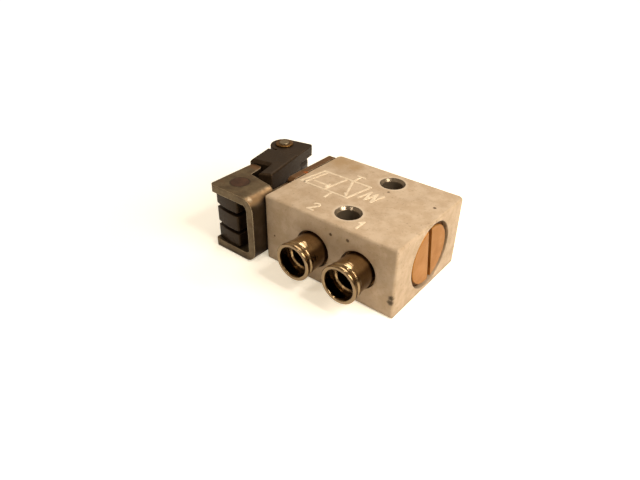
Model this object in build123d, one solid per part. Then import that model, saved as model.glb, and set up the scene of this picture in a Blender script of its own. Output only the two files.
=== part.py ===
from build123d import *
import math
import os

# Lever valve for compressed air, in millimetres.
# The origin lies on the bottom face, midway between the two mounting holes.
# +X runs along the valve's working axis from the lever to the slotted plug,
# +Y points away from the two tube fittings, and +Z is up.

# Body block
body_length = 33.0
body_width = 26.5
body_height = 16.0
lever_end_to_holes = 18.0
fittings_face_to_axis = 13.6
axis_height = 8.0
body_edge = 0.5
body_back_edge = 1.3

# Mounting holes
hole_spacing = 16.5
hole_radius = 2.25
hole_mouth_radius = 2.85

# General clearances
turned_fit = 0.02
running_fit = 0.03
seal_gap = 0.02

# Axial bores of the body, counted from its two ends
plug_radius = 7.45
plug_recess = 0.2
plug_thickness = 5.6
plug_face_radius = 6.6
plug_step = 0.9
plug_edge = 0.25
plug_floor = 0.8
slot_width = 1.25
slot_depth = 1.2
slot_turn = 10.5
chamber_radius = 4.9
outlet_radius = 4.1
bush_radius = 5.0
bush_length = 9.0

# Valve seat between the two chambers
seat_from_lever_end = 17.0
seat_length = 3.2
seat_bore = 2.35
seat_lip = 0.4
seat_lip_radius = 2.9

# Poppet, which the supply pressure and a spring hold on the seat
poppet_radius = 3.8
poppet_disc = 1.5
poppet_rim = 0.25
poppet_back = 1.1
poppet_stem_radius = 1.5
poppet_stem_entry = 1.0

# Plunger
plunger_radius = 2.45
plunger_dome_radius = 3.0
plunger_collar_radius = 3.5
plunger_collar_length = 1.2
plunger_tube_radius = 1.8
exhaust_radius = 0.8
exhaust_gap = 0.63
vent_radius = 0.6

# O-rings
seal_wire = 0.6
seal_groove = 1.3
small_seal_wire = 0.45
seal_sides = 8

# Springs
spring_wire = 0.25
spring_radius = 2.8
spring_pitch = 1.4
poppet_spring_radius = 2.3
poppet_spring_pitch = 1.15
wire_sides = 6

# Tube fittings on the front face
fitting_height = 8.0
first_fitting = 13.1
fitting_spacing = 11.4
barrel_radius = 3.75
barrel_reach = 6.4
barrel_mouth = 3.3
mouth_depth = 2.8
lip_radius = 4.15
lip_length = 0.9
lip_edge = 0.3
lip_groove_radius = 3.5
lip_groove_length = 0.4
ring_radius = 3.95
ring_length = 1.0
counterbore_radius = 4.15
counterbore_depth = 1.6
shank_radius = 2.45
shank_length = 2.2
port_passage = 1.2
washer_thickness = 0.9
washer_inset = 0.12
sleeve_bore = 2.4
sleeve_length = 2.2
tube_seal_length = 1.0
tube_stop_bore = 2.05
tube_stop_depth = 1.0
sleeve_lead = 0.3

# Bracket of bent sheet
sheet = 1.8
bracket_bottom = 0.2
bracket_below_top = 0.05
bend_radius = 3.0
flange_reach = 12.8
flange_front = 3.85
flange_back = 3.6
flange_notch_y = 5.2
flange_notch_x = 9.1
tongue_back = 9.5
tongue_width = 2.95
flange_corner = 0.9
plate_end = 25.3
plate_front = 9.2
plate_corner = 1.0
relief_depth = 1.2
relief_start = 3.4
plunger_window = 2.9
screw_spread = 15.6
screw_radius = 1.2
screw_head_radius = 2.3
screw_head_height = 1.15
screw_length = 7.0
screw_slot = 0.5

# Hinge pin
hinge_x = 8.3
hinge_y = 0.9
hinge_radius = 2.0
hinge_head_radius = 2.12
hinge_head_height = 0.6

# Moulded lever, in its own plan: u across it, v along it from the hinge
lever_rest_angle = 11.5
lever_top = 16.8
lever_bottom = 0.3
hub_radius = 4.1
hub_outer_u = -4.8
hub_outer_v = -2.5
hub_inner_u = 2.2
hub_inner_v = -4.7
hub_bulge = 0.35
hub_relief = 1.3
hub_clearance = 0.12
land_gap = 0.95
land_pitch = 4.6
land_count = 3
land_groove_depth = 1.45
lever_outer_u = -3.4
lever_inner_u = 5.15
shoulder_v = 9.3
shoulder_bevel = 0.9
shoulder_drop = 0.45
tongue_u = 2.15
tongue_v = 4.15
tongue_slant = 0.8
neck_u = 2.9
land_corner = 0.45
tip_line_v = 16.8
arm_end_v = 17.3
tip_step = 0.2
eye_u = -1.14
eye_v = 21.25
eye_radius = 3.5
tip_v = 24.5
tip_corner = 0.6
fork_top = 13.95
fork_bottom = 3.2
fork_wall_v = 18.05
fork_pocket_radius = 6.3
pad_u = 4.4
pad_radius = 3.0
pocket_depth = 2.0
pocket_height = 8.6
pocket_front_v = 8.0
pocket_back_v = 14.6
pad_offset = 0.7
lever_edge = 0.5

# Roller and its pin
roller_radius = 5.8
roller_bottom = 3.8
roller_top = 12.7
roller_hub_radius = 2.4
roller_play = 0.15
roller_edge = 0.6
roller_pin_radius = 1.3
roller_pin_head_radius = 2.0
roller_pin_head_height = 0.6
roller_pin_end = 0.25
pin_chamfer = 0.15
washer_radius = 2.25
washer_height = 0.45
washer_edge = 0.15
contact_gap = 0.04

# Places worked out from the sizes above
end_lever = -lever_end_to_holes
end_plug = end_lever + body_length
face_front = -fittings_face_to_axis
face_back = face_front + body_width
plug_outer = end_plug - plug_recess
plug_inner = plug_outer - plug_thickness
bush_inner = end_lever + bush_length
seat_face = end_lever + seat_from_lever_end
seat_end = seat_face + seat_length
lip_face = seat_end + seat_lip
bracket_top = body_height - bracket_below_top
hinge_place = Pos(end_lever - hinge_x, face_front + hinge_y, 0)
lever_place = hinge_place * Rot(0, 0, lever_rest_angle)
tip_top = lever_top - tip_step
valve_line = Pos(0, 0, axis_height)
standing = Rot(0, -90, 0)


def save(part, name):
    export_step(part, f"parts/{name}.step")


def turned(outline, rounded=(), radius=0):
    """Solid turned about the X axis from its (distance, radius) corners."""
    section = make_face(Polyline(*outline, close=True).edges())
    if rounded:
        near = [v for v in section.vertices() if any(math.dist((v.X, v.Y), p) < 1e-4 for p in rounded)]
        section = fillet(near, radius)
    return revolve(section, Axis.X)


def ring_seal(centre_x, centre_radius, wire, grips=False):
    """O-ring about the X axis, squeezed flat by its groove, or with an edge that grips a tube."""
    turn = 0 if grips else 180 / seal_sides
    squeezed = RegularPolygon(wire, seal_sides, major_radius=grips, rotation=turn)
    return revolve(Pos(centre_x, centre_radius) * squeezed, Axis.X)


def rod(radius, start, end):
    """Cylinder about the X axis between two distances."""
    return Pos((start + end) / 2, 0, 0) * Rot(0, 90, 0) * Cylinder(radius, end - start)


def upright(radius, bottom, top):
    """Cylinder about the Z axis between two heights."""
    return Pos(0, 0, (bottom + top) / 2) * Cylinder(radius, top - bottom)


def block(x0, x1, y0, y1, z0, z1):
    """Box between its faces."""
    centre = Pos((x0 + x1) / 2, (y0 + y1) / 2, (z0 + z1) / 2)
    return centre * Box(x1 - x0, y1 - y0, z1 - z0)


def area(x0, x1, y0, y1):
    """Rectangle between its sides."""
    return Pos((x0 + x1) / 2, (y0 + y1) / 2) * Rectangle(x1 - x0, y1 - y0)


def fitting_places():
    """The two fittings' axes, pointing out of the front face."""
    xs = [end_lever + first_fitting, end_lever + first_fitting + fitting_spacing]
    return [Pos(x, face_front, fitting_height) * Rot(0, 0, -90) for x in xs]


def screw_places():
    """The two bracket screws' axes, pointing into the body."""
    ys = [-screw_spread / 2, screw_spread / 2]
    return [Pos(end_lever - sheet, y, axis_height) for y in ys]


def screw_outline(gap):
    """Countersunk head and shank, widened by gap."""
    head = screw_head_radius + gap
    shank = screw_radius + gap
    return [
        (0, 0), (0, head), (screw_head_height, shank),
        (screw_length + gap, shank), (screw_length + gap, 0),
    ]


def mounting_hole():
    """Through hole with a chamfer at its upper mouth."""
    chamfer_height = hole_mouth_radius - hole_radius
    mouth = Cone(hole_radius, hole_mouth_radius, chamfer_height)
    return upright(hole_radius, 0, body_height) + Pos(0, 0, body_height - chamfer_height / 2) * mouth


def valve_body():
    blank = block(end_lever, end_plug, face_front, face_back, 0, body_height)
    back_edges = blank.edges().filter_by(Axis.Z).group_by(Axis.Y)[-1]
    back_edges += blank.edges().filter_by(Axis.X).group_by(Axis.Y)[-1].sort_by(Axis.Z)[:1]
    blank = fillet(back_edges, body_back_edge)
    sharp = blank.edges().filter_by(GeomType.LINE).group_by(Axis.Y)[0]
    sharp += blank.edges().filter_by(GeomType.LINE).filter_by(Axis.Y).group_by(Axis.Z)[-1]
    blank = fillet(sharp, body_edge)
    for y in (-hole_spacing / 2, hole_spacing / 2):
        blank -= Pos(0, y, 0) * mounting_hole()
    bores = rod(plug_radius, plug_inner, end_plug)
    bores += rod(chamber_radius, seat_face, plug_inner)
    bores += rod(outlet_radius, bush_inner, seat_face)
    bores += rod(bush_radius, end_lever, bush_inner)
    blank -= valve_line * bores
    for place in fitting_places():
        port = rod(counterbore_radius, -counterbore_depth, 0)
        port += rod(shank_radius + turned_fit, -counterbore_depth - shank_length, 0)
        port += rod(port_passage, -fittings_face_to_axis, 0)
        blank -= place * port
    for place in screw_places():
        blank -= place * turned(screw_outline(turned_fit))
    return blank


def plug_seal_x():
    return plug_inner + seal_groove


def plug():
    groove_floor = plug_radius - 2 * seal_wire
    start = plug_seal_x() - seal_groove / 2
    end = plug_seal_x() + seal_groove / 2
    skirt = plug_radius - turned_fit
    stem_bore = poppet_stem_radius + running_fit
    bore_end = plug_outer - slot_depth - plug_floor
    rim = [(plug_outer, plug_face_radius)]
    outline = [
        (plug_inner, stem_bore), (plug_inner, skirt), (start, skirt), (start, groove_floor),
        (end, groove_floor), (end, skirt), (plug_outer - plug_step, skirt),
        (plug_outer - plug_step, plug_face_radius), *rim, (plug_outer, 0),
        (bore_end, 0), (bore_end, stem_bore),
    ]
    slot = block(plug_outer - slot_depth, plug_outer, -slot_width / 2, slot_width / 2,
                 -plug_radius, plug_radius)
    return valve_line * (turned(outline, rim, plug_edge) - Rot(slot_turn, 0, 0) * slot)


def plug_seal():
    centre = plug_radius - seal_wire
    return valve_line * ring_seal(plug_seal_x(), centre, seal_wire - seal_gap)


def seat_seal_x():
    return seat_face + seat_length / 2


def seat_ring():
    rim = chamber_radius - turned_fit
    floor = chamber_radius - 2 * seal_wire
    start = seat_seal_x() - seal_groove / 2
    end = seat_seal_x() + seal_groove / 2
    outline = [
        (seat_face, seat_bore), (seat_face, rim), (start, rim), (start, floor), (end, floor),
        (end, rim), (seat_end, rim), (seat_end, seat_lip_radius + seat_lip),
        (lip_face, seat_lip_radius), (lip_face, seat_bore),
    ]
    return valve_line * turned(outline)


def seat_seal():
    centre = chamber_radius - seal_wire
    return valve_line * ring_seal(seat_seal_x(), centre, seal_wire - seal_gap)


def bush_seal_x():
    return (end_lever + bush_inner) / 2 - seal_groove


def stem_seal_x():
    return (end_lever + bush_inner) / 2 + seal_groove


def guide_bush():
    rim = bush_radius - turned_fit
    bore = plunger_radius + running_fit
    floor = bush_radius - 2 * seal_wire
    roof = bore + 2 * small_seal_wire
    half = seal_groove / 2
    outline = [
        (end_lever, bore), (end_lever, rim), (bush_seal_x() - half, rim),
        (bush_seal_x() - half, floor), (bush_seal_x() + half, floor),
        (bush_seal_x() + half, rim), (bush_inner, rim), (bush_inner, bore),
        (stem_seal_x() + half, bore), (stem_seal_x() + half, roof),
        (stem_seal_x() - half, roof), (stem_seal_x() - half, bore),
    ]
    return valve_line * turned(outline)


def guide_bush_seal():
    centre = bush_radius - seal_wire
    return valve_line * ring_seal(bush_seal_x(), centre, seal_wire - seal_gap)


def stem_seal():
    inner = plunger_radius + running_fit
    centre = inner + small_seal_wire
    return valve_line * ring_seal(stem_seal_x(), centre, small_seal_wire - seal_gap)


def dome_centre_x():
    """Centre of the plunger's domed end, just clear of the lever's pad."""
    angle = math.radians(lever_rest_angle)
    along = (fittings_face_to_axis - hinge_y) * math.sin(angle)
    reach = pad_u + plunger_dome_radius + contact_gap - along
    return end_lever - hinge_x + reach / math.cos(angle)


def dome_point(angle):
    """Point of the domed end, at an angle from its tip."""
    out = plunger_dome_radius * math.sin(angle)
    return (dome_centre_x() - plunger_dome_radius * math.cos(angle), out)


def plunger_end_x():
    return lip_face - exhaust_gap


def plunger():
    tip = (dome_centre_x() - plunger_dome_radius, 0)
    half_angle = math.asin(plunger_radius / plunger_dome_radius) / 2
    shoulder = dome_point(2 * half_angle)
    collar_end = bush_inner + plunger_collar_length
    outline = Polyline(
        shoulder, (bush_inner, plunger_radius), (bush_inner, plunger_collar_radius),
        (collar_end, plunger_collar_radius), (collar_end, plunger_tube_radius),
        (plunger_end_x(), plunger_tube_radius), (plunger_end_x(), 0), tip,
    )
    dome = ThreePointArc(tip, dome_point(half_angle), shoulder)
    vent_x = shoulder[0] + 2 * vent_radius + exhaust_radius
    stem = revolve(make_face(outline.edges() + dome.edges()), Axis.X)
    stem -= rod(exhaust_radius, vent_x, plunger_end_x())
    vent = Pos(vent_x, 0, 0) * Rot(90, 0, 0) * Cylinder(vent_radius, 2 * plunger_radius)
    return valve_line * (stem - vent)


def coil(start, end, radius, pitch):
    """Compression spring about the X axis between two faces."""
    low = start + spring_wire + seal_gap
    height = end - start - 2 * (spring_wire + seal_gap)
    path = Helix(pitch=pitch, height=height, radius=radius)
    section = Plane(origin=path @ 0, z_dir=path % 0) * RegularPolygon(spring_wire, wire_sides)
    return valve_line * Pos(low, 0, 0) * Rot(0, 90, 0) * sweep(section, path)


def plunger_spring():
    return coil(bush_inner + plunger_collar_length, seat_face, spring_radius, spring_pitch)


def poppet_back_x():
    return lip_face + poppet_disc + poppet_back


def poppet():
    rim = lip_face + poppet_rim
    disc_back = lip_face + poppet_disc
    stem_end = plug_inner + poppet_stem_entry
    cup = poppet_radius - poppet_rim
    outline = [
        (rim, cup), (rim, poppet_radius), (poppet_back_x(), poppet_radius),
        (poppet_back_x(), poppet_stem_radius), (stem_end, poppet_stem_radius),
        (stem_end, 0), (disc_back, 0), (disc_back, cup),
    ]
    return valve_line * turned(outline)


def poppet_seal():
    radius = poppet_radius - poppet_rim - turned_fit
    return valve_line * rod(radius, lip_face, lip_face + poppet_disc)


def poppet_spring():
    return coil(poppet_back_x(), plug_inner, poppet_spring_radius, poppet_spring_pitch)


def fitting():
    """Plated tube socket, turned in one piece with its threaded shank."""
    seat = washer_thickness - counterbore_depth
    shank_end = -counterbore_depth - shank_length + turned_fit
    lip_start = barrel_reach - lip_length
    ring_end = lip_start - lip_groove_length
    ring_start = ring_end - ring_length
    stop = barrel_reach - mouth_depth - sleeve_length - tube_seal_length
    stop_end = stop - tube_stop_depth
    lip = [(lip_start, lip_radius), (barrel_reach, lip_radius), (barrel_reach, barrel_mouth)]
    ring = [
        (ring_start, ring_radius), (ring_end - lip_edge, ring_radius),
        (ring_end, ring_radius - lip_edge),
    ]
    outline = [
        (shank_end, port_passage), (shank_end, shank_radius), (seat, shank_radius),
        (seat, barrel_radius), (ring_start, barrel_radius), *ring, (ring_end, lip_groove_radius),
        (lip_start, lip_groove_radius), *lip, (stop, barrel_mouth), (stop, tube_stop_bore),
        (stop_end, tube_stop_bore), (stop_end, port_passage),
    ]
    return turned(outline, lip, lip_edge)


def fitting_washer():
    inner = shank_radius + turned_fit
    outer = counterbore_radius - washer_inset
    start = -counterbore_depth
    end = start + washer_thickness
    return turned([(start, inner), (start, outer), (end, outer), (end, inner)])


def tube_sleeve():
    """Gripping sleeve, whose front edge shows as a ring inside the mouth."""
    front = barrel_reach - mouth_depth
    back = front - sleeve_length
    outer = barrel_mouth - turned_fit
    return turned([
        (back, sleeve_bore), (back, outer), (front, outer),
        (front, sleeve_bore + sleeve_lead), (front - sleeve_lead, sleeve_bore),
    ])


def tube_seal():
    wire = tube_seal_length / 2 - seal_gap
    centre_x = barrel_reach - mouth_depth - sleeve_length - tube_seal_length / 2
    return ring_seal(centre_x, barrel_mouth - wire - seal_gap, wire, grips=True)


def bracket_channel():
    """Sheet bent to a channel that is open towards the lever side."""
    height = bracket_top - bracket_bottom
    middle = (bracket_top + bracket_bottom) / 2
    outer = Pos(-flange_reach / 2, middle) * Rectangle(flange_reach, height)
    outer = fillet(outer.vertices().group_by(Axis.X)[-1], bend_radius)
    inner = Pos(-flange_reach / 2 - sheet, middle) * Rectangle(flange_reach, height - 2 * sheet)
    inner = fillet(inner.vertices().group_by(Axis.X)[-1], bend_radius - sheet)
    length = tongue_back + flange_front
    channel = extrude(Plane.XZ * (outer - inner), -length)
    return Pos(end_lever, face_front - flange_front, 0) * channel


def flange_plan():
    """Plan of the two flanges, with the tongue that runs out beside the lever."""
    outer = end_lever - flange_reach
    front = face_front - flange_front
    outline = Polyline(
        (outer, front), (end_lever, front), (end_lever, face_front + flange_back),
        (end_lever - flange_notch_x, face_front + flange_notch_y),
        (outer + tongue_width, face_front + tongue_back), (outer, face_front + tongue_back),
        close=True,
    )
    plan = make_face(outline.edges())
    corners = plan.vertices().group_by(Axis.X)[0]
    corners += plan.vertices().group_by(Axis.Y)[-1].sort_by(Axis.X)[-1:]
    return extrude(fillet(corners, flange_corner), body_height)


def bracket_plate():
    """Flat web, which runs on behind the lever as a plate with round corners."""
    back = end_lever - sheet
    web = block(back, end_lever, face_front + relief_start, face_front + plate_end,
                bracket_bottom + relief_depth, bracket_top - relief_depth)
    plate = block(back, end_lever, face_front + plate_front, face_front + plate_end,
                  bracket_bottom, bracket_top)
    across = plate.edges().filter_by(Axis.X).group_by(Axis.Y)
    plate = fillet(across[-1], plate_corner)
    across = plate.edges().filter_by(Axis.X).group_by(Axis.Y)
    plate = fillet(across[0], relief_depth - turned_fit)
    return web + plate


def hinge_pin_outline(gap):
    """Half section of the riveted pin along its length, widened by gap."""
    shaft = hinge_radius + gap
    head = hinge_head_radius + gap
    return [
        (bracket_bottom, 0), (bracket_bottom, head), (bracket_bottom + hinge_head_height, shaft),
        (bracket_top - hinge_head_height, shaft), (bracket_top, head), (bracket_top, 0),
    ]


def hinge_pin():
    return hinge_place * standing * turned(hinge_pin_outline(0))


def bracket():
    part = (bracket_channel() & flange_plan()) + bracket_plate()
    part -= hinge_place * standing * turned(hinge_pin_outline(turned_fit))
    part -= valve_line * rod(plunger_window, end_lever - 2 * sheet, end_lever)
    for place in screw_places():
        part -= place * turned(screw_outline(turned_fit))
    return part


def bracket_screws():
    """Two countersunk screws, which share one node."""
    screw = turned(screw_outline(0))
    screw -= block(0, screw_slot, -screw_slot / 2, screw_slot / 2,
                   -screw_head_radius, screw_head_radius)
    return Compound(children=[place * screw for place in screw_places()])


def hub_bottom():
    return bracket_bottom + sheet + hub_clearance


def hub_top():
    return bracket_top - sheet - hub_clearance


def hub_plan(inset):
    """Plan of the hub, whose front bows out a little, drawn in by inset."""
    left = (hub_outer_u, hub_outer_v)
    right = (hub_inner_u, hub_inner_v)
    middle = ((left[0] + right[0]) / 2, (left[1] + right[1]) / 2 - hub_bulge)
    sides = Polyline(right, (neck_u, 0), (lever_inner_u, tongue_v + tongue_slant),
                     (lever_inner_u, shoulder_v), (lever_outer_u, shoulder_v),
                     (-hub_radius, 0), left)
    front = ThreePointArc(left, middle, right)
    plan = make_face(sides.edges() + front.edges())
    plan = fillet(plan.vertices().group_by(Axis.Y)[0], land_corner)
    return offset(plan, -inset) if inset else plan


def lever_hub():
    """Hub between the flanges, with three lands over its front half."""
    low, high = hub_bottom(), hub_top()
    body = Pos(0, 0, low) * extrude(hub_plan(0), high - low)
    corner = body.edges().group_by(Axis.Z)[0].filter_by(GeomType.LINE)
    body = chamfer(corner.filter_by(lambda e: e.center().X < hub_outer_u / 2)[:1], hub_relief)
    for gap in range(1, land_count):
        start = (low + high - land_gap) / 2 + (gap - land_count / 2) * land_pitch
        ring = block(-2 * hub_radius, 2 * hub_radius, -2 * hub_radius, 0, start, start + land_gap)
        ring -= Pos(0, 0, start) * extrude(hub_plan(land_groove_depth), land_gap)
        body -= ring
    return body


def arm_plan():
    """Plan of the arm, its tongue beside the flange and the round eye at its tip."""
    wall = shoulder_v + lever_edge
    plan = area(lever_outer_u, lever_inner_u, shoulder_v, arm_end_v)
    plan += make_face(Polyline(
        (tongue_u, tongue_v), (lever_inner_u, tongue_v + tongue_slant),
        (lever_inner_u, wall), (tongue_u, wall), close=True,
    ).edges())
    plan += area(eye_u, lever_inner_u, tip_line_v, tip_v)
    plan += Pos(eye_u, eye_v) * Circle(eye_radius) & area(-lever_top, lever_top, 0, tip_v)
    return fillet(plan.vertices().group_by(Axis.Y)[-1], tip_corner)


def lever_arm_blank():
    """Full-height arm with rounded top edges, and the fork that holds the roller."""
    blank = Pos(0, 0, lever_bottom) * extrude(arm_plan(), lever_top - lever_bottom)
    blank = fillet(blank.edges().group_by(Axis.Z)[-1], lever_edge)
    reach = 2 * (eye_radius - eye_u)
    slot = block(-reach, reach, fork_wall_v, 2 * eye_v, fork_bottom, fork_top)
    slot += Pos(eye_u, eye_v, 0) * upright(fork_pocket_radius, fork_bottom, fork_top)
    step = block(-reach, reach, tip_line_v, 2 * eye_v, tip_top, 2 * lever_top)
    return blank - slot - step - shoulder_wedge()


def shoulder_wedge():
    """Bevel along the top of the shoulder that stands over the flange's end."""
    section = Polyline(
        (shoulder_v, lever_top - shoulder_drop), (shoulder_v + shoulder_bevel, lever_top),
        (shoulder_v, lever_top), close=True,
    )
    wedge = extrude(Plane.YZ * make_face(section.edges()), tongue_u - lever_outer_u)
    return Pos(lever_outer_u, 0, 0) * wedge


def lever_pocket():
    """Relief in the side that faces the valve, round the raised pad for the plunger."""
    floor = lever_inner_u - pocket_depth
    pocket = block(floor, 2 * lever_inner_u, pocket_front_v, pocket_back_v,
                   axis_height - pocket_height / 2, axis_height + pocket_height / 2)
    pad_v = (pocket_front_v + pocket_back_v) / 2 + pad_offset
    pad = Pos(0, pad_v, axis_height) * rod(pad_radius, floor, pad_u)
    return pocket - pad


def lever_arm():
    part = lever_hub() + lever_arm_blank() - lever_pocket()
    part -= upright(hinge_radius + running_fit, lever_bottom, lever_top)
    pin_hole = upright(roller_pin_radius + turned_fit, lever_bottom, lever_top)
    pin_hole += upright(roller_pin_head_radius + turned_fit, 0, lever_bottom + roller_pin_head_height)
    part -= Pos(eye_u, eye_v, 0) * pin_hole
    return lever_place * part


def roller():
    low = fork_bottom + roller_play
    high = fork_top - roller_play
    bore = roller_pin_radius + running_fit
    rim = [
        (roller_bottom, roller_radius - roller_edge), (roller_bottom + roller_edge, roller_radius),
        (roller_top - roller_edge, roller_radius), (roller_top, roller_radius - roller_edge),
    ]
    outline = [
        (low, bore), (low, roller_hub_radius), (roller_bottom, roller_hub_radius), *rim,
        (roller_top, roller_hub_radius), (high, roller_hub_radius), (high, bore),
    ]
    return lever_place * Pos(eye_u, eye_v, 0) * standing * turned(outline)


def roller_pin():
    top = tip_top + washer_height + roller_pin_end
    head_top = lever_bottom + roller_pin_head_height
    outline = [
        (lever_bottom, 0), (lever_bottom, roller_pin_head_radius),
        (head_top, roller_pin_head_radius), (head_top, roller_pin_radius),
        (top - pin_chamfer, roller_pin_radius), (top, roller_pin_radius - pin_chamfer), (top, 0),
    ]
    return lever_place * Pos(eye_u, eye_v, 0) * standing * turned(outline)


def pin_washer():
    inner = roller_pin_radius + turned_fit
    top = tip_top + washer_height
    outline = [
        (tip_top, inner), (tip_top, washer_radius), (top - washer_edge, washer_radius),
        (top, washer_radius - washer_edge), (top, inner),
    ]
    return lever_place * Pos(eye_u, eye_v, 0) * standing * turned(outline)


os.makedirs("parts", exist_ok=True)
save(valve_body(), "valve_body")
save(plug(), "end_plug")
save(plug_seal(), "end_plug_seal")
save(seat_ring(), "seat_ring")
save(seat_seal(), "seat_ring_seal")
save(guide_bush(), "guide_bush")
save(guide_bush_seal(), "guide_bush_seal")
save(stem_seal(), "plunger_seal")
save(plunger(), "plunger")
save(plunger_spring(), "plunger_spring")
save(poppet(), "poppet")
save(poppet_seal(), "poppet_seal")
save(poppet_spring(), "poppet_spring")
for name, place in zip(("outlet", "supply"), fitting_places()):
    save(place * fitting(), f"{name}_fitting")
    save(place * fitting_washer(), f"{name}_fitting_washer")
    save(place * tube_sleeve(), f"{name}_tube_sleeve")
    save(place * tube_seal(), f"{name}_tube_seal")
save(bracket(), "bracket")
save(bracket_screws(), "bracket_screws")
save(hinge_pin(), "hinge_pin")
save(lever_arm(), "lever_arm")
save(roller(), "roller")
save(roller_pin(), "roller_pin")
save(pin_washer(), "roller_pin_washer")
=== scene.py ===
import math

import bmesh
import bpy
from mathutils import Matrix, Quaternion, Vector


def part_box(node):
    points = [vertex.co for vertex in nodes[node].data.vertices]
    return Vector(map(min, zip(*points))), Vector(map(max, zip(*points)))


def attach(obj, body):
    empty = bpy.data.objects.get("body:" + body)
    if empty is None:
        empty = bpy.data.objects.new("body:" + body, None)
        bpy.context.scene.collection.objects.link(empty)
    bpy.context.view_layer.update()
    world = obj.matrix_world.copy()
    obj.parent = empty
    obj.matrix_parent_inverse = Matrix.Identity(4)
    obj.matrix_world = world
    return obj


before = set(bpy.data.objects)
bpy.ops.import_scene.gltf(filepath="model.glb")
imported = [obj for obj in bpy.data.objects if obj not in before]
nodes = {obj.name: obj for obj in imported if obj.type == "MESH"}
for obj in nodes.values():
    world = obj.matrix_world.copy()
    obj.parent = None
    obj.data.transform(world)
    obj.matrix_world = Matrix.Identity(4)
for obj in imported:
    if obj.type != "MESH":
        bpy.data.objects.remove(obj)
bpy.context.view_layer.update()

mm = 0.001


# The view: a small valve lies on a white table, seen from above its front corner.
# A broad lamp stands to the right and a strip behind; two small lamps overhead give the metal its glints.
# The floor shows as white far off; near the valve its glow is dimmer and warmer, a painted warm light, and it
# keeps the soft shadow at the object's foot.
def colour(red, green, blue):
    """Colour written as 0 to 255 on a screen, turned into the linear values that shaders take."""
    def linear(value):
        share = value / 255
        return share / 12.92 if share < 0.04045 else ((share + 0.055) / 1.055) ** 2.4
    return (linear(red), linear(green), linear(blue), 1.0)


def feed(tree, socket, value):
    """Links a socket to another node's output, or sets its own value."""
    if isinstance(value, bpy.types.NodeSocket):
        tree.links.new(value, socket)
    else:
        socket.default_value = value


def put(tree, kind, settings=None, **inputs):
    """Places a shader node, with its settings, and links or sets the inputs that are named."""
    node = tree.nodes.new("ShaderNode" + kind)
    for name, value in (settings or {}).items():
        setattr(node, name, value)
    for name, value in inputs.items():
        feed(tree, node.inputs[name.replace("_", " ")], value)
    return node


def calc(tree, operation, *values):
    """One step of arithmetic, given as its output."""
    node = put(tree, "Math", {"operation": operation})
    for socket, value in zip(node.inputs, values):
        feed(tree, socket, value)
    return node.outputs[0]


def measure(tree, operation, *vectors):
    """One step of vector arithmetic that gives a number, such as a length or a distance."""
    node = put(tree, "VectorMath", {"operation": operation})
    for socket, vector in zip(node.inputs, vectors):
        feed(tree, socket, vector)
    return node.outputs["Value"]


def here(tree):
    """The place on the piece that is being coloured, in metres."""
    return put(tree, "TexCoord").outputs["Object"]


def blend(tree, share, low, high):
    """Two colours mixed by a mask."""
    node = put(tree, "Mix", {"data_type": "RGBA"})
    feed(tree, node.inputs[0], share)
    feed(tree, node.inputs[6], low)
    feed(tree, node.inputs[7], high)
    return node.outputs[2]


def spread(tree, value, start, end, low=0.0, high=1.0):
    """A value stretched, with soft ends, from one span to another."""
    node = put(tree, "MapRange", {"interpolation_type": "SMOOTHSTEP"}, Value=value)
    for name, setting in (("From Min", start), ("From Max", end), ("To Min", low), ("To Max", high)):
        feed(tree, node.inputs[name], setting)
    return node.outputs[0]


def empty_material(name):
    """A material with nothing in it but its output."""
    material = bpy.data.materials.new(name)
    material.use_nodes = True
    material.node_tree.nodes.clear()
    output = material.node_tree.nodes.new("ShaderNodeOutputMaterial")
    return material, material.node_tree, output


scene = bpy.context.scene
scene.view_settings.view_transform = "Standard"

camera_place = Vector((51.50, -82.55, 69.22)) * mm
camera_aim = Vector((-5.725, -10.035, 8.0)) * mm
camera_roll = math.radians(0.826)
camera_data = bpy.data.cameras.new("camera")
camera_data.sensor_width = 36.0
camera_data.lens = 29.50
camera_data.clip_start = 1 * mm
camera = bpy.data.objects.new("camera", camera_data)
turned = (camera_aim - camera_place).to_track_quat("-Z", "Y") @ Quaternion((0, 0, 1), camera_roll)
camera.location = camera_place
camera.rotation_mode = "QUATERNION"
camera.rotation_quaternion = turned
scene.collection.objects.link(camera)
scene.camera = camera


def lamp(name, place, watts, tint, **shape):
    """Lamp at a place in millimetres, aimed at the middle of the valve."""
    data = bpy.data.lights.new(name, "AREA")
    data.energy = watts
    data.color = tint[:3]
    for setting, value in shape.items():
        setattr(data, setting, value)
    source = bpy.data.objects.new(name, data)
    source.location = Vector(place) * mm
    source.rotation_mode = "QUATERNION"
    source.rotation_quaternion = (camera_aim - source.location).to_track_quat("-Z", "Y")
    scene.collection.objects.link(source)


key_tint = colour(255, 246, 232)
strip_tint = colour(255, 248, 238)
glint_tint = colour(255, 248, 236)
glint_size = 0.028
lamp("key_lamp", (138, 2, 142), 0.295, key_tint, shape="DISK", size=0.10)
lamp("strip_lamp", (-40, 160, 210), 0.15, strip_tint, shape="RECTANGLE", size=0.16, size_y=0.05)
lamp("glint_right", (143, -37, 208), 0.11, glint_tint, shape="DISK", size=glint_size)
lamp("glint_left", (5, -155, 211), 0.085, glint_tint, shape="DISK", size=glint_size)

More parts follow.
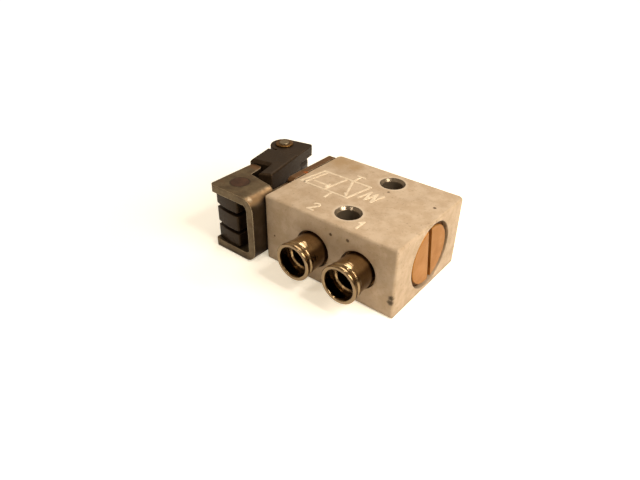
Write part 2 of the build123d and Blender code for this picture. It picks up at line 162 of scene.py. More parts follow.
room_light = colour(250, 240, 226)
room_strength = 0.28
skirting = colour(60, 48, 36)
wall = colour(190, 174, 152)
ceiling = colour(112, 98, 84)
wall_start, wall_end = 0.0, 0.45
ceiling_start, ceiling_end = 0.55, 0.95
world = bpy.data.worlds.new("studio")
world.use_nodes = True
scene.world = world
air = world.node_tree
air.nodes.clear()
path = put(air, "LightPath")
seen = calc(air, "MAXIMUM", path.outputs["Is Camera Ray"], path.outputs["Is Transmission Ray"])
height = put(air, "SeparateXYZ", Vector=put(air, "TexCoord").outputs["Generated"]).outputs["Z"]
mirrored_room = blend(air, spread(air, height, wall_start, wall_end), skirting, wall)
mirrored_room = blend(air, spread(air, height, ceiling_start, ceiling_end), mirrored_room, ceiling)
room = put(air, "Background", Color=room_light, Strength=room_strength)
mirrored = put(air, "Background", Color=mirrored_room, Strength=1.0)
white = put(air, "Background", Color=(1, 1, 1, 1), Strength=1.0)
gloss = put(air, "MixShader", Fac=path.outputs["Is Glossy Ray"])
feed(air, gloss.inputs[1], room.outputs[0])
feed(air, gloss.inputs[2], mirrored.outputs[0])
sky = put(air, "MixShader", Fac=seen)
feed(air, sky.inputs[1], gloss.outputs[0])
feed(air, sky.inputs[2], white.outputs[0])
put(air, "OutputWorld", Surface=sky.outputs[0])

floor_half = 1.5
floor_drop = 0.02
table_white = colour(250, 247, 240)
# Painted warm light: near the valve the floor's glow is dimmer and warmer than far off.
near_glow = (0.52, 0.45, 0.34, 1.0)
far_glow = (0.8, 0.8, 0.8, 1.0)
glow_start, glow_end = 50, 140
floor_corners = [(-floor_half, -floor_half, 0), (floor_half, -floor_half, 0)]
floor_corners += [(floor_half, floor_half, 0), (-floor_half, floor_half, 0)]
floor_mesh = bpy.data.meshes.new("floor")
floor_mesh.from_pydata(floor_corners, [], [(0, 1, 2, 3)])
floor = bpy.data.objects.new("floor", floor_mesh)
floor.location.z = -floor_drop * mm
scene.collection.objects.link(floor)
material, tree, output = empty_material("table")
path = put(tree, "LightPath")
table = put(tree, "BsdfDiffuse", Color=table_white)
away = spread(tree, measure(tree, "LENGTH", here(tree)), glow_start * mm, glow_end * mm)
glow = blend(tree, away, near_glow, far_glow)
direct = calc(tree, "MAXIMUM", path.outputs["Is Camera Ray"], path.outputs["Is Transmission Ray"])
shine = put(tree, "Emission", Color=glow, Strength=direct)
whitened = put(tree, "AddShader")
feed(tree, whitened.inputs[0], table.outputs[0])
feed(tree, whitened.inputs[1], shine.outputs[0])
feed(tree, output.inputs["Surface"], whitened.outputs[0])
floor.data.materials.append(material)


# The body: one block of light alloy, die-cast, then blasted and coated with a thin warm grey lacquer.
# Its two through holes and the ports are drilled afterwards, so their rims are bright metal.
# Handling has polished its edges and left pits in its faces, and painted shade darkens its corners and the
# places where other pieces meet it, fading out near the top face.
def effect(name, inputs, outputs):
    """A named group for an effect that several finishes share, with its sockets made."""
    group = bpy.data.node_groups.new(name, "ShaderNodeTree")
    for label, kind, value in inputs:
        socket = group.interface.new_socket(label, in_out="INPUT", socket_type="NodeSocket" + kind)
        socket.default_value = value
    for label, kind in outputs:
        group.interface.new_socket(label, in_out="OUTPUT", socket_type="NodeSocket" + kind)
    return group, group.nodes.new("NodeGroupInput").outputs, group.nodes.new("NodeGroupOutput").inputs


def use(tree, group, **inputs):
    """Places an effect in a material, with its own values."""
    node = tree.nodes.new("ShaderNodeGroup")
    node.node_tree = group
    for name, value in inputs.items():
        feed(tree, node.inputs[name.replace("_", " ")], value)
    return node.outputs


def shift(tree, operation, vector, other):
    """One step of vector arithmetic that gives a vector. A scale takes a number as its other value."""
    node = put(tree, "VectorMath", {"operation": operation}, Vector=vector)
    feed(tree, node.inputs["Scale" if operation == "SCALE" else 1], other)
    return node.outputs["Vector"]


def make_patches():
    """Soft patches of any size, in mm, that cover a share of the surface."""
    group, given, result = effect(
        "patches",
        [("Size", "Float", 3.0), ("Share", "Float", 0.5), ("Softness", "Float", 0.2),
         ("Detail", "Float", 4.0), ("Seed", "Float", 0.0)],
        [("Mask", "Float"), ("Cloud", "Float")],
    )
    cloud_low, cloud_high = 0.25, 0.75
    moved = shift(group, "ADD", here(group), given["Seed"])
    scale = calc(group, "DIVIDE", 1 / mm, given["Size"])
    noise = put(group, "TexNoise", Vector=moved, Scale=scale, Detail=given["Detail"], Roughness=0.6)
    bare_share = calc(group, "SUBTRACT", 1.0, given["Share"])
    middle = spread(group, bare_share, 0.0, 1.0, cloud_low, cloud_high)
    low = calc(group, "SUBTRACT", middle, given["Softness"])
    high = calc(group, "ADD", middle, given["Softness"])
    feed(group, result["Mask"], spread(group, noise.outputs["Fac"], low, high))
    feed(group, result["Cloud"], noise.outputs["Fac"])
    return group


def make_edges():
    """Rounded shading along the edges, and a mask of how far they are worn."""
    group, given, result = effect(
        "edges",
        [("Radius", "Float", 0.3), ("Wear", "Float", 0.5), ("Size", "Float", 1.5), ("Seed", "Float", 0.0)],
        [("Mask", "Float"), ("Normal", "Vector")],
    )
    unworn_limit = 0.17
    wear_range = 0.16
    rim = 0.06
    reach = calc(group, "MULTIPLY", given["Radius"], mm)
    rounded = put(group, "Bevel", {"samples": 6}, Radius=reach).outputs[0]
    facing = measure(group, "DOT_PRODUCT", rounded, put(group, "NewGeometry").outputs["Normal"])
    bend = calc(group, "SUBTRACT", 1.0, facing)
    cloud = use(group, patches, Size=given["Size"], Detail=6.0, Seed=given["Seed"])["Cloud"]
    limit = calc(group, "MULTIPLY_ADD", given["Wear"], -wear_range, unworn_limit)
    rubbed = calc(group, "MULTIPLY", bend, calc(group, "MULTIPLY", cloud, 2.0))
    feed(group, result["Mask"], spread(group, rubbed, limit, calc(group, "ADD", limit, rim)))
    feed(group, result["Normal"], rounded)
    return group


def make_corner_shade():
    """Painted shade in corners and gaps, where the surface is hidden, broken up by patches."""
    group, given, result = effect(
        "corner_shade",
        [("Reach", "Float", 1.0), ("Amount", "Float", 0.5), ("Seed", "Float", 0.0)],
        [("Mask", "Float")],
    )
    reach = calc(group, "MULTIPLY", given["Reach"], mm)
    open_sky = put(group, "AmbientOcclusion", {"samples": 6}, Distance=reach)
    hidden = calc(group, "SUBTRACT", 1.0, open_sky.outputs["AO"])
    cloud = use(group, patches, Size=0.8, Detail=5.0, Seed=given["Seed"])["Cloud"]
    patchy_shade = calc(group, "MULTIPLY", hidden, calc(group, "ADD", cloud, 0.5))
    amount = calc(group, "MULTIPLY", patchy_shade, given["Amount"])
    feed(group, result["Mask"], calc(group, "MINIMUM", calc(group, "MULTIPLY", amount, 2.0), 1.0))
    return group


def make_spot():
    """One round spot at a place in mm, with ragged rim."""
    group, given, result = effect(
        "spot",
        [("Place", "Vector", (0, 0, 0)), ("Radius", "Float", 1.0), ("Softness", "Float", 0.3),
         ("Ragged", "Float", 0.3)],
        [("Mask", "Float")],
    )
    swing = 3.0
    centre = shift(group, "SCALE", given["Place"], mm)
    distance = calc(group, "DIVIDE", measure(group, "DISTANCE", here(group), centre), mm)
    cloud = use(group, patches, Size=calc(group, "MULTIPLY", given["Radius"], 0.8), Detail=5.0)["Cloud"]
    ragged = calc(group, "MULTIPLY", calc(group, "SUBTRACT", cloud, 0.5), given["Ragged"])
    share = calc(group, "DIVIDE", distance, given["Radius"])
    share = calc(group, "ADD", share, calc(group, "MULTIPLY", ragged, swing))
    low = calc(group, "SUBTRACT", 1.0, given["Softness"])
    high = calc(group, "ADD", 1.0, given["Softness"])
    feed(group, result["Mask"], spread(group, share, low, high, 1.0, 0.0))
    return group


patches = make_patches()
edges = make_edges()
corner_shade = make_corner_shade()
spot = make_spot()


def all_spots(tree, places, softness, ragged):
    """Mask of the round spots in a list of places and radii, in mm."""
    total = 0.0
    for place, radius in places:
        mask = use(tree, spot, Place=place, Radius=radius, Softness=softness, Ragged=ragged)["Mask"]
        total = calc(tree, "MAXIMUM", total, mask)
    return total


def lay(tree, base, tint, mask, share=1.0):
    """Lays a tint over a colour where the mask says, at a share of its full strength."""
    return blend(tree, calc(tree, "MULTIPLY", mask, share), base, tint)


def roughness(tree, cloud, smooth, rough):
    """Roughness that wanders between two values with the patches of the finish."""
    cloud_low, cloud_high = 0.3, 0.7
    return spread(tree, cloud, cloud_low, cloud_high, smooth, rough)


def bump(tree, height, depth, normal=None):
    """Relief of a height map, as deep as the given millimetres, on top of an earlier normal."""
    node = put(tree, "Bump", Height=height, Distance=depth * mm)
    if normal:
        feed(tree, node.inputs["Normal"], normal)
    return node.outputs[0]


def dress(name, material):
    """Gives a piece of the frame its finish."""
    nodes[name].data.materials.clear()
    nodes[name].data.materials.append(material)


lacquer = colour(205, 180, 150)
lacquer_shade = colour(190, 163, 131)
lacquer_yellow = colour(178, 146, 106)
bare_alloy = colour(232, 214, 188)
drilled_alloy = colour(134, 118, 98)
grime_and_corner_shade = colour(104, 82, 58)
stain_brown = colour(84, 66, 44)
body_low, body_high = (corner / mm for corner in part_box("valve_body"))
hole_y = 8.25
hole_mouth = 2.85
worn_ring = 3.7
wiped_height = 0.6
blasting_depth = 0.02
pit_depth = 4.0
pit_places = [((-15.5, body_low.y, 6.8), 0.24), ((-0.3, body_low.y, 13.4), 0.34)]
pit_places += [((3.8, body_low.y, 13.7), 0.38), ((12.3, 4.6, body_high.z), 0.34)]
pit_places += [((1.4, 4.3, body_high.z), 0.28)]
stain_places = [((body_high.x - 0.5, body_low.y, 5.0), 0.55), ((body_high.x - 0.6, body_low.y, 3.9), 0.6)]
yellow_places = [((-15.5, 10.0, body_high.z), 2.6), ((-11.0, 9.6, body_high.z), 1.6)]

material, tree, output = empty_material("blasted_lacquer")
edge = use(tree, edges, Radius=0.35, Wear=0.5, Size=1.6, Seed=3.0)
blotches = use(tree, patches, Size=3.0, Share=0.5, Softness=0.14, Detail=6.0)["Mask"]
smears = use(tree, patches, Size=6.0, Share=0.4, Softness=0.10, Detail=9.0, Seed=14.0)["Mask"]
specks = use(tree, patches, Size=0.45, Share=0.26, Softness=0.05, Detail=3.0, Seed=5.0)
rubs = use(tree, patches, Size=1.0, Share=0.24, Softness=0.08, Detail=7.0, Seed=17.0)["Mask"]
base = blend(tree, blotches, lacquer, lacquer_shade)
base = lay(tree, base, grime_and_corner_shade, smears, 0.10)
base = lay(tree, base, grime_and_corner_shade, specks["Mask"], 0.42)
base = lay(tree, base, bare_alloy, rubs, 0.16)
base = lay(tree, base, lacquer_yellow, all_spots(tree, yellow_places, 0.8, 0.8))
base = lay(tree, base, stain_brown, all_spots(tree, stain_places, 0.5, 0.5))
base = lay(tree, base, bare_alloy, edge["Mask"], 0.5)

place = put(tree, "SeparateXYZ", Vector=here(tree)).outputs
# Painted shade in corners and where other pieces meet the body, faded out near the top face.
shade_in_corners = use(tree, corner_shade, Reach=1.0, Amount=0.32, Seed=8.0)["Mask"]
corner_shade_share = spread(tree, place["Z"], (body_high.z - wiped_height) * mm, (body_high.z - 0.1) * mm, 1.0, 0.0)
base = lay(tree, base, grime_and_corner_shade, shade_in_corners, corner_shade_share)
pitted = all_spots(tree, pit_places, 0.35, 0.25)
base = lay(tree, base, grime_and_corner_shade, pitted)

past_hole = calc(tree, "SUBTRACT", calc(tree, "ABSOLUTE", place["Y"]), hole_y * mm)
from_hole = measure(tree, "LENGTH", put(tree, "CombineXYZ", X=place["X"], Y=past_hole).outputs[0])
rubbed = spread(tree, from_hole, hole_mouth * mm, worn_ring * mm, 0.45, 0.0)
base = blend(tree, rubbed, base, bare_alloy)
drilled = spread(tree, from_hole, (hole_mouth - 0.02) * mm, (hole_mouth + 0.03) * mm, 1.0, 0.0)
base = blend(tree, drilled, base, drilled_alloy)

grain = use(tree, patches, Size=0.5, Detail=4.0, Seed=11.0)["Cloud"]
relief = calc(tree, "SUBTRACT", grain, calc(tree, "MULTIPLY", pitted, pit_depth))
relief = calc(tree, "MULTIPLY", relief, calc(tree, "SUBTRACT", 1.0, drilled))
normal = bump(tree, relief, blasting_depth, edge["Normal"])
rough = roughness(tree, specks["Cloud"], 0.46, 0.58)
rough = calc(tree, "SUBTRACT", rough, calc(tree, "MULTIPLY", drilled, 0.33))
metal = spread(tree, drilled, 0.0, 1.0, 0.2, 0.65)
shader = put(tree, "BsdfPrincipled", Base_Color=base, Metallic=metal, Roughness=rough, Normal=normal)
feed(tree, output.inputs["Surface"], shader.outputs[0])
dress("valve_body", material)


# Raised marks cast on the top face: the standard sign of a lever valve with a spring, and its port numbers.
# They are low ridges with round ends, whose tops have been rubbed paler than the face.
# The tops differ by a hair in height, because tops that cross in one plane would show dark specks.
mark_height = 0.08
mark_sink = 0.05
mark_width = 0.60
bevel_height = 0.05
bevel_width = 0.10
number_width = 0.56
mark_slices = 6
layer_step = 0.002
layer_faces = 16
layers = 9
mark_bottom = body_high.z - mark_sink
mark_top = body_high.z + mark_height


def add_ridge(mesh, start, end, width):
    """Low ridge between two points of the top face, with round ends and bevelled top."""
    start = Vector(start)
    end = Vector(end)
    along = (end - start).normalized()
    heading = math.atan2(along.x, -along.y)
    top = mark_top - layer_step * (len(mesh.faces) // layer_faces % layers)
    half_width = width / 2
    profile = [(mark_bottom, half_width), (top - bevel_height, half_width), (top, half_width - bevel_width)]
    rings = []
    for height, half in profile:
        ring = []
        for middle, turn in ((start, 0.0), (end, math.pi)):
            for step in range(mark_slices + 1):
                angle = heading + turn + math.pi * step / mark_slices
                rim_x = middle.x + half * math.cos(angle)
                rim_y = middle.y + half * math.sin(angle)
                ring.append(mesh.verts.new((rim_x * mm, rim_y * mm, height * mm)))
        rings.append(ring)
    count = len(rings[0])
    for lower, upper in zip(rings, rings[1:]):
        for index in range(count):
            after = (index + 1) % count
            mesh.faces.new((lower[index], lower[after], upper[after], upper[index]))
    mesh.faces.new(rings[-1])
    mesh.faces.new(list(reversed(rings[0])))


def add_path(mesh, points, width=mark_width):
    """Ridges along a line of points."""
    for start, end in zip(points, points[1:]):
        add_ridge(mesh, start, end, width)


sign_left = -15.9
sign_right = -3.3
sign_front = -3.5
sign_back = 3.6
sign_slant = 1.3
sign_split = -9.4
push_gap = 1.1


def on_sign(x, y):
    """A point of the sign, which was cut into the mould slightly slanted."""
    return x + sign_slant * (y - sign_front) / (sign_back - sign_front) - sign_slant / 2, y


mesh = bmesh.new()
corners = [(sign_left, sign_front), (sign_right, sign_front), (sign_right, sign_back), (sign_left, sign_back)]
add_path(mesh, [on_sign(*corner) for corner in corners + corners[:1]])
for bar in (sign_split, sign_left + push_gap):
    add_path(mesh, [on_sign(bar, sign_front), on_sign(bar, sign_back)])

spring_gap = 1.1
spring_strokes = 6
spring_step = 1.55
spring_lean = 0.9
spring_rise = 1.85
zigzag = []
for step in range(spring_strokes):
    foot = sign_right + spring_gap + spring_step * (step // 2)
    zigzag.append((foot + spring_lean, spring_rise) if step % 2 else (foot, -spring_rise))
add_path(mesh, zigzag)

port_tick = 2.7
supply_x = sign_split + 2.1
outlet_x = sign_split + 1.6
tick_lean = 0.3
bar_left, bar_right = 0.6, 1.2
add_path(mesh, [(supply_x, sign_back), (supply_x + tick_lean, sign_back + port_tick)])
bar_y = sign_back + port_tick
add_path(mesh, [(supply_x - bar_left, bar_y), (supply_x + bar_right, bar_y)])
add_path(mesh, [(outlet_x, sign_front), (outlet_x, sign_front - port_tick)])

closed_start = sign_split - 4.6
closed_end = sign_split - 1.0
closed_y = -1.6
closed_half = 0.7
add_path(mesh, [(closed_start, closed_y), (closed_end, closed_y)])
add_path(mesh, [(closed_end, closed_y - closed_half), (closed_end, closed_y + closed_half)])

arrow_x = sign_right - 1.4
arrow_y = sign_front + 0.7
arrow_spread = 0.7
arrow_length = 0.8
add_path(mesh, [(supply_x, sign_back - 0.2), (arrow_x, arrow_y)])
add_path(mesh, [(arrow_x - arrow_spread, arrow_y + arrow_length), (arrow_x, arrow_y)])


def add_two(mesh, x, y, height):
    """The number two: an arc, a slanted stroke and a foot."""
    half = height / 4
    top = y + height - half
    arc_start, arc_step, arc_points = 165, 30, 7
    arc = [(x + half * math.cos(angle), top + half * math.sin(angle))
           for angle in (math.radians(arc_start - arc_step * step) for step in range(arc_points))]
    add_path(mesh, arc + [(x - half, y), (x + half, y)], number_width)


def add_one(mesh, x, y, height):
    """The number one: a stroke with a short flag."""
    flag_end = 0.72
    add_path(mesh, [(x, y), (x, y + height), (x - height / 4, y + height * flag_end)], number_width)


number_height = 2.8
number_y = -12.0
two_x = -6.9
one_x = 4.5
add_two(mesh, two_x, number_y, number_height)
add_one(mesh, one_x, number_y, number_height)
bmesh.ops.recalc_face_normals(mesh, faces=mesh.faces)
marks_mesh = bpy.data.meshes.new("cast_marks")
mesh.to_mesh(marks_mesh)
mesh.free()
marks = bpy.data.objects.new("cast_marks", marks_mesh)
scene.collection.objects.link(marks)

mark_cream = colour(240, 220, 190)
mark_worn = colour(224, 200, 168)
material, tree, output = empty_material("rubbed_marks")
worn = use(tree, patches, Size=1.1, Share=0.5, Softness=0.2, Seed=2.0)["Mask"]
base = blend(tree, worn, mark_cream, mark_worn)
grain = use(tree, patches, Size=0.2, Detail=3.0, Seed=1.0)["Cloud"]
normal = bump(tree, grain, 0.03)
shader = put(tree, "BsdfPrincipled", Base_Color=base, Metallic=0.25, Roughness=0.5, Normal=normal)
feed(tree, output.inputs["Surface"], shader.outputs[0])
marks.data.materials.append(material)
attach(marks, "housing")


# The works inside the body: seat, guide bush and plunger turned from brass and steel, with black O-rings.
# The coil springs are wound from bright wire.
def make_turning():
    """Fine tool marks left by a lathe, round an axis through a place in mm."""
    group, given, result = effect(
        "turning",
        [("Place", "Vector", (0, 0, 0)), ("Axis", "Vector", (1, 0, 0)), ("Pitch", "Float", 0.12),
         ("Unevenness", "Float", 1.0)],
        [("Height", "Float"), ("Along", "Float"), ("Radius", "Float")],
    )
    wave_share = 0.25
    waver = 9.0
    offset = shift(group, "SUBTRACT", shift(group, "SCALE", here(group), 1 / mm), given["Place"])
    along = measure(group, "DOT_PRODUCT", offset, given["Axis"])
    radius = measure(group, "DISTANCE", offset, shift(group, "SCALE", given["Axis"], along))
    travel = calc(group, "ADD", along, radius)
    turns = calc(group, "DIVIDE", travel, given["Pitch"])
    wave = calc(group, "SINE", calc(group, "MULTIPLY", turns, 2 * math.pi))
    drift = calc(group, "MULTIPLY", travel, waver)
    noise = put(group, "TexNoise", {"noise_dimensions": "1D"}, W=drift, Scale=1.0)
    uneven = calc(group, "MULTIPLY", noise.outputs["Fac"], given["Unevenness"])
    feed(group, result["Height"], calc(group, "MULTIPLY_ADD", wave, wave_share, uneven))
    feed(group, result["Along"], along)
    feed(group, result["Radius"], radius)
    return group


turning = make_turning()
corner_shade_brown = colour(44, 30, 18)
painted_bore_shade = colour(46, 31, 18)
painted_reflection_brown = colour(62, 44, 27)
paler = 1.35


def turned_metal(name, place, axis, tint, shade, polish, metal=1.0, tarnish=0.35, cloud_size=1.8,
                 seed=0.0, pitch=0.12, cut=0.008, uneven=1.0, rounding=0.12, corner_shading=0.5, bore=None,
                 lip=None, painted_dark_side=None):
    """Turned metal with tool marks, patches of tarnish and rubbed edges, painted shade in corners and inside
    a bore, and a painted dark reflection on a given side.
    """
    material, tree, output = empty_material(name)
    edge = use(tree, edges, Radius=rounding, Wear=0.5, Size=0.8, Seed=seed)
    clouds = use(tree, patches, Size=cloud_size, Share=tarnish, Softness=0.3, Detail=4.0, Seed=seed + 1.0)
    # Painted shade in corners and gaps.
    shade_in_corners = use(tree, corner_shade, Reach=0.8, Amount=corner_shading, Seed=seed)["Mask"]
    lathe = use(tree, turning, Place=place, Axis=axis, Pitch=pitch, Unevenness=uneven)
    outward = put(tree, "NewGeometry").outputs["Normal"]
    rubbed_tint = tuple(min(1.0, part * paler) for part in tint[:3]) + (1.0,)
    base = blend(tree, clouds["Mask"], tint, shade)
    base = blend(tree, shade_in_corners, base, corner_shade_brown)
    base = lay(tree, base, rubbed_tint, edge["Mask"], 0.6)
    if lip:
        facing = measure(tree, "DOT_PRODUCT", outward, axis)
        base = blend(tree, spread(tree, facing, -0.95, -0.7, 1.0, 0.0), base, lip)
    # Painted dark reflection: the side turned towards this direction is darkened.
    if painted_dark_side:
        facing = measure(tree, "DOT_PRODUCT", outward, painted_dark_side)
        base = blend(tree, spread(tree, facing, 0.76, 0.92, 0.0, 0.75), base, painted_reflection_brown)
    # Painted shade inside the bore, deeper than the lip.
    if bore:
        within = spread(tree, lathe["Radius"], bore + 0.02, bore + 0.1, 0.85, 0.0)
        base = lay(tree, base, painted_bore_shade, within, spread(tree, lathe["Along"], 0.35, 0.6))
    normal = bump(tree, lathe["Height"], cut, edge["Normal"])
    rough = roughness(tree, clouds["Cloud"], polish - 0.04, polish + 0.08)
    shader = put(tree, "BsdfPrincipled", Base_Color=base, Metallic=metal, Roughness=rough, Normal=normal)
    feed(tree, output.inputs["Surface"], shader.outputs[0])
    return material


axis_height = 8.0
axis_place = (0, 0, axis_height)
along_body = (1, 0, 0)
clean_brass = colour(206, 164, 96)
clean_brass_shade = colour(160, 116, 60)
inner_steel = colour(190, 184, 176)
inner_steel_shade = colour(150, 140, 128)
wire_steel = colour(176, 170, 160)
wire_steel_shade = colour(120, 110, 98)
inner_brass = turned_metal("inner_brass", axis_place, along_body, clean_brass, clean_brass_shade, 0.32)
for name in ("seat_ring", "guide_bush"):
    dress(name, inner_brass)
bright_steel = turned_metal("bright_steel", axis_place, along_body, inner_steel, inner_steel_shade, 0.26)
for name in ("plunger", "poppet"):
    dress(name, bright_steel)
spring_wire = turned_metal("spring_wire", axis_place, along_body, wire_steel, wire_steel_shade, 0.30)
for name in ("plunger_spring", "poppet_spring"):
    dress(name, spring_wire)

rubber_black = colour(24, 22, 20)
rubber_dusty = colour(46, 42, 37)
material, tree, output = empty_material("seal_rubber")
dusty = use(tree, patches, Size=0.6, Share=0.4, Softness=0.2, Seed=4.0)
base = blend(tree, dusty["Mask"], rubber_black, rubber_dusty)
normal = bump(tree, dusty["Cloud"], 0.01)
shader = put(tree, "BsdfPrincipled", Base_Color=base, Roughness=0.55, Normal=normal)
feed(tree, output.inputs["Surface"], shader.outputs[0])
seals = ["seat_ring_seal", "guide_bush_seal", "plunger_seal", "poppet_seal", "end_plug_seal"]
seals += ["outlet_tube_seal", "supply_tube_seal"]
for name in seals:
    dress(name, material)


# The end plug: a thick disc of orange brass with one broad slot, screwed into the working bore.
# Its face is left as turned and has dulled to an even tan, with painted shade in the slot's corners.
plug_face = (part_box("end_plug")[1].x / mm, 0, axis_height)
orange_brass = colour(190, 132, 64)
dulled_brass = colour(168, 112, 50)
plug_brass = turned_metal("plug_brass", plug_face, along_body, orange_brass, dulled_brass, 0.46,
                          metal=0.6, tarnish=0.45, cloud_size=5.0, seed=7.0, cut=0.004, corner_shading=1.0)
dress("end_plug", plug_brass)


# The two tube sockets: turned from brass, plated, and screwed into counterbores of the front face.
# Each has a step, a neck and a bright lip. A brass washer seals it, and a sleeve inside grips the tube.
socket_bore = 3.3
sleeve_bore = 2.4
into_body = (0, 1, 0)
# Painted dark reflection: the plating is darkened on its side turned this way, and the bores are darkened as
# painted shade.
painted_dark_facing = (0.98, 0, 0.2)
plating = colour(184, 158, 120)
plating_shade = colour(130, 104, 70)
plated_lip = colour(160, 136, 106)
washer_tint = colour(150, 112, 68)
washer_shade = colour(104, 74, 42)
sleeve_tint = colour(214, 184, 140)
sleeve_shade = colour(168, 134, 90)
for side, seed in (("outlet", 12.0), ("supply", 19.0)):
    low, high = (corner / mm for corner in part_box(side + "_fitting"))
    mouth = ((low.x + high.x) / 2, low.y, axis_height)
    plated = turned_metal(side + "_plating", mouth, into_body, plating, plating_shade, 0.17,
                          tarnish=0.45, cloud_size=4.0, seed=seed, pitch=0.62, cut=0.016, uneven=0.15,
                          rounding=0.28, corner_shading=0.10, bore=socket_bore, lip=plated_lip, painted_dark_side=painted_dark_facing)
    dress(side + "_fitting", plated)
    washer = turned_metal(side + "_washer_brass", mouth, into_body, washer_tint, washer_shade, 0.40,
                          metal=0.8, tarnish=0.5, seed=seed + 1.0, corner_shading=0.3)
    dress(side + "_fitting_washer", washer)
    sleeve = turned_metal(side + "_sleeve_brass", mouth, into_body, sleeve_tint, sleeve_shade, 0.22,
                          tarnish=0.4, seed=seed + 2.0, rounding=0.25, corner_shading=0.10, bore=sleeve_bore)
    dress(side + "_tube_sleeve", sleeve)


# The bracket: thick steel sheet, punched, bent round the lever's hub and screwed to the body's lever end.
# Its thin zinc coat has turned brown, with rust on its plate and along the cut edges.
# The outside of the bend is rubbed bright and carries a painted highlight at its end, and painted shade
# darkens the side that is turned towards the body.
sheet_coat = colour(132, 114, 86)
sheet_shade = colour(94, 78, 56)
sheet_rust = colour(96, 66, 38)
plate_rust = colour(126, 84, 46)
fresh_rust = colour(178, 96, 40)
painted_web_shade = colour(52, 40, 27)
corner_shade_and_joint_dark = colour(40, 28, 17)
bend_steel = colour(150, 116, 78)
cut_steel = colour(216, 194, 160)
painted_bend_highlight = colour(236, 214, 180)
pin_low, pin_high = (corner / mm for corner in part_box("hinge_pin"))
hinge_place = ((pin_low.x + pin_high.x) / 2, (pin_low.y + pin_high.y) / 2, axis_height)
upright = (0, 0, 1)
pin_hole = 2.12
plate_start, plate_end = -7.0, -5.0
bend_highlight_place = [((-19.8, -16.55, 15.0), 0.6)]
rust_place = [((-18.36, 0.35, 15.9), 0.5)]

material, tree, output = empty_material("rusty_sheet")
edge = use(tree, edges, Radius=0.30, Wear=0.6, Size=1.1, Seed=21.0)
blotches = use(tree, patches, Size=3.0, Share=0.5, Softness=0.25, Seed=22.0)["Mask"]
rusty = use(tree, patches, Size=1.6, Share=0.34, Softness=0.14, Detail=7.0, Seed=23.0)
base = blend(tree, blotches, sheet_coat, sheet_shade)
base = lay(tree, base, sheet_rust, rusty["Mask"], 0.8)
place = put(tree, "SeparateXYZ", Vector=here(tree)).outputs
base = blend(tree, spread(tree, place["Y"], plate_start * mm, plate_end * mm, 0.0, 0.7), base, plate_rust)
to_body = put(tree, "SeparateXYZ", Vector=put(tree, "NewGeometry").outputs["Normal"]).outputs["X"]
# Painted shade on the faces turned towards the body.
base = lay(tree, base, painted_web_shade, spread(tree, to_body, 0.55, 0.98), 0.85)
turned_in = spread(tree, to_body, 0.15, 0.45)
not_flat = spread(tree, to_body, 0.7, 0.95, 1.0, 0.0)
base = lay(tree, base, bend_steel, calc(tree, "MULTIPLY", turned_in, not_flat), 0.65)
base = lay(tree, base, cut_steel, edge["Mask"], 0.8)
# Painted shade in the bracket's corners and gaps; the dark ring round the pin's hole is the dark of the joint
# itself.
shade_in_corners = use(tree, corner_shade, Reach=1.5, Amount=0.9, Seed=24.0)["Mask"]
base = blend(tree, shade_in_corners, base, corner_shade_and_joint_dark)
from_pin = use(tree, turning, Place=hinge_place, Axis=upright)["Radius"]
base = blend(tree, spread(tree, from_pin, pin_hole + 0.05, pin_hole + 0.3, 0.85, 0.0), base, corner_shade_and_joint_dark)
base = lay(tree, base, fresh_rust, all_spots(tree, rust_place, 0.5, 0.7))
# Painted highlight at the end of the bend.
base = lay(tree, base, painted_bend_highlight, all_spots(tree, bend_highlight_place, 0.6, 0.5))
metal = calc(tree, "SUBTRACT", 0.8, calc(tree, "MULTIPLY", rusty["Mask"], 0.45))
rough = roughness(tree, rusty["Cloud"], 0.30, 0.52)
fine = use(tree, patches, Size=0.3, Detail=5.0, Seed=25.0)["Cloud"]
normal = bump(tree, calc(tree, "ADD", fine, rusty["Mask"]), 0.015, edge["Normal"])
shader = put(tree, "BsdfPrincipled", Base_Color=base, Metallic=metal, Roughness=rough, Normal=normal)
feed(tree, output.inputs["Surface"], shader.outputs[0])
dress("bracket", material)
dress("bracket_screws", material)


# The hinge pin: soft steel, riveted over at both ends, so its rim is hammered and has rusted to red-brown.
# It goes through both flanges of the bracket and carries the lever's hub between them.
rust_red = colour(84, 54, 31)
rust_dark = colour(62, 38, 21)
pin_rust = turned_metal("pin_rust", hinge_place, upright, rust_red, rust_dark, 0.60,
                        metal=0.3, tarnish=0.5, seed=31.0, corner_shading=1.0)
dress("hinge_pin", pin_rust)


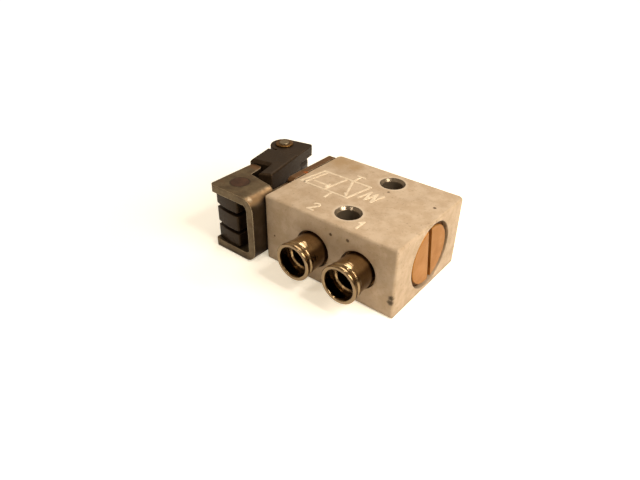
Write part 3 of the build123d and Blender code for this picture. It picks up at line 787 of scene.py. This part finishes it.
# The lever: one moulding of black-brown glass-filled plastic, with three lands over its hub and a fork for
# the roller. Sharp corners have gone pale with use, and the matt skin carries fine scratches.
moulding = colour(43, 31, 20)
moulding_shade = colour(31, 22, 13)
moulding_worn = colour(104, 84, 62)
material, tree, output = empty_material("black_moulding")
edge = use(tree, edges, Radius=0.30, Wear=0.35, Size=0.9, Seed=41.0)
blotches = use(tree, patches, Size=4.0, Share=0.5, Softness=0.25, Seed=42.0)["Mask"]
dust = use(tree, patches, Size=0.5, Share=0.35, Softness=0.1, Seed=43.0)
base = blend(tree, blotches, moulding, moulding_shade)
base = lay(tree, base, moulding_worn, dust["Mask"], 0.2)
base = lay(tree, base, moulding_worn, edge["Mask"], 0.5)
fine = use(tree, patches, Size=0.35, Detail=4.0, Seed=44.0)["Cloud"]
normal = bump(tree, fine, 0.02, edge["Normal"])
rough = roughness(tree, dust["Cloud"], 0.36, 0.52)
shader = put(tree, "BsdfPrincipled", Base_Color=base, Roughness=rough, Normal=normal)
shader.inputs["Specular IOR Level"].default_value = 0.30
shader.inputs["Specular Tint"].default_value = colour(255, 214, 168)
feed(tree, output.inputs["Surface"], shader.outputs[0])
dress("lever_arm", material)


# The roller: a paler grade of the same plastic, so that it wears instead of the machine's cam.
# It turns on a steel pin that is held in a brass washer on the lever's tip.
roller_low, roller_high = (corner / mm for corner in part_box("roller"))
roller_place = tuple((roller_low + roller_high) / 2)
roller_tint = colour(58, 47, 37)
roller_shade = colour(42, 33, 25)
pin_tint = colour(158, 142, 116)
pin_shade = colour(112, 96, 74)
tip_brass = colour(138, 100, 50)
tip_brass_shade = colour(88, 60, 28)
roller_dark = turned_metal("roller_dark", roller_place, upright, roller_tint, roller_shade, 0.42,
                           metal=0.0, seed=51.0, pitch=0.3)
dress("roller", roller_dark)
pin_steel = turned_metal("pin_steel", roller_place, upright, pin_tint, pin_shade, 0.34, metal=0.9, seed=52.0)
dress("roller_pin", pin_steel)
washer_brass = turned_metal("washer_brass", roller_place, upright, tip_brass, tip_brass_shade, 0.36,
                            metal=0.9, tarnish=0.5, seed=53.0, corner_shading=1.0)
dress("roller_pin_washer", washer_brass)
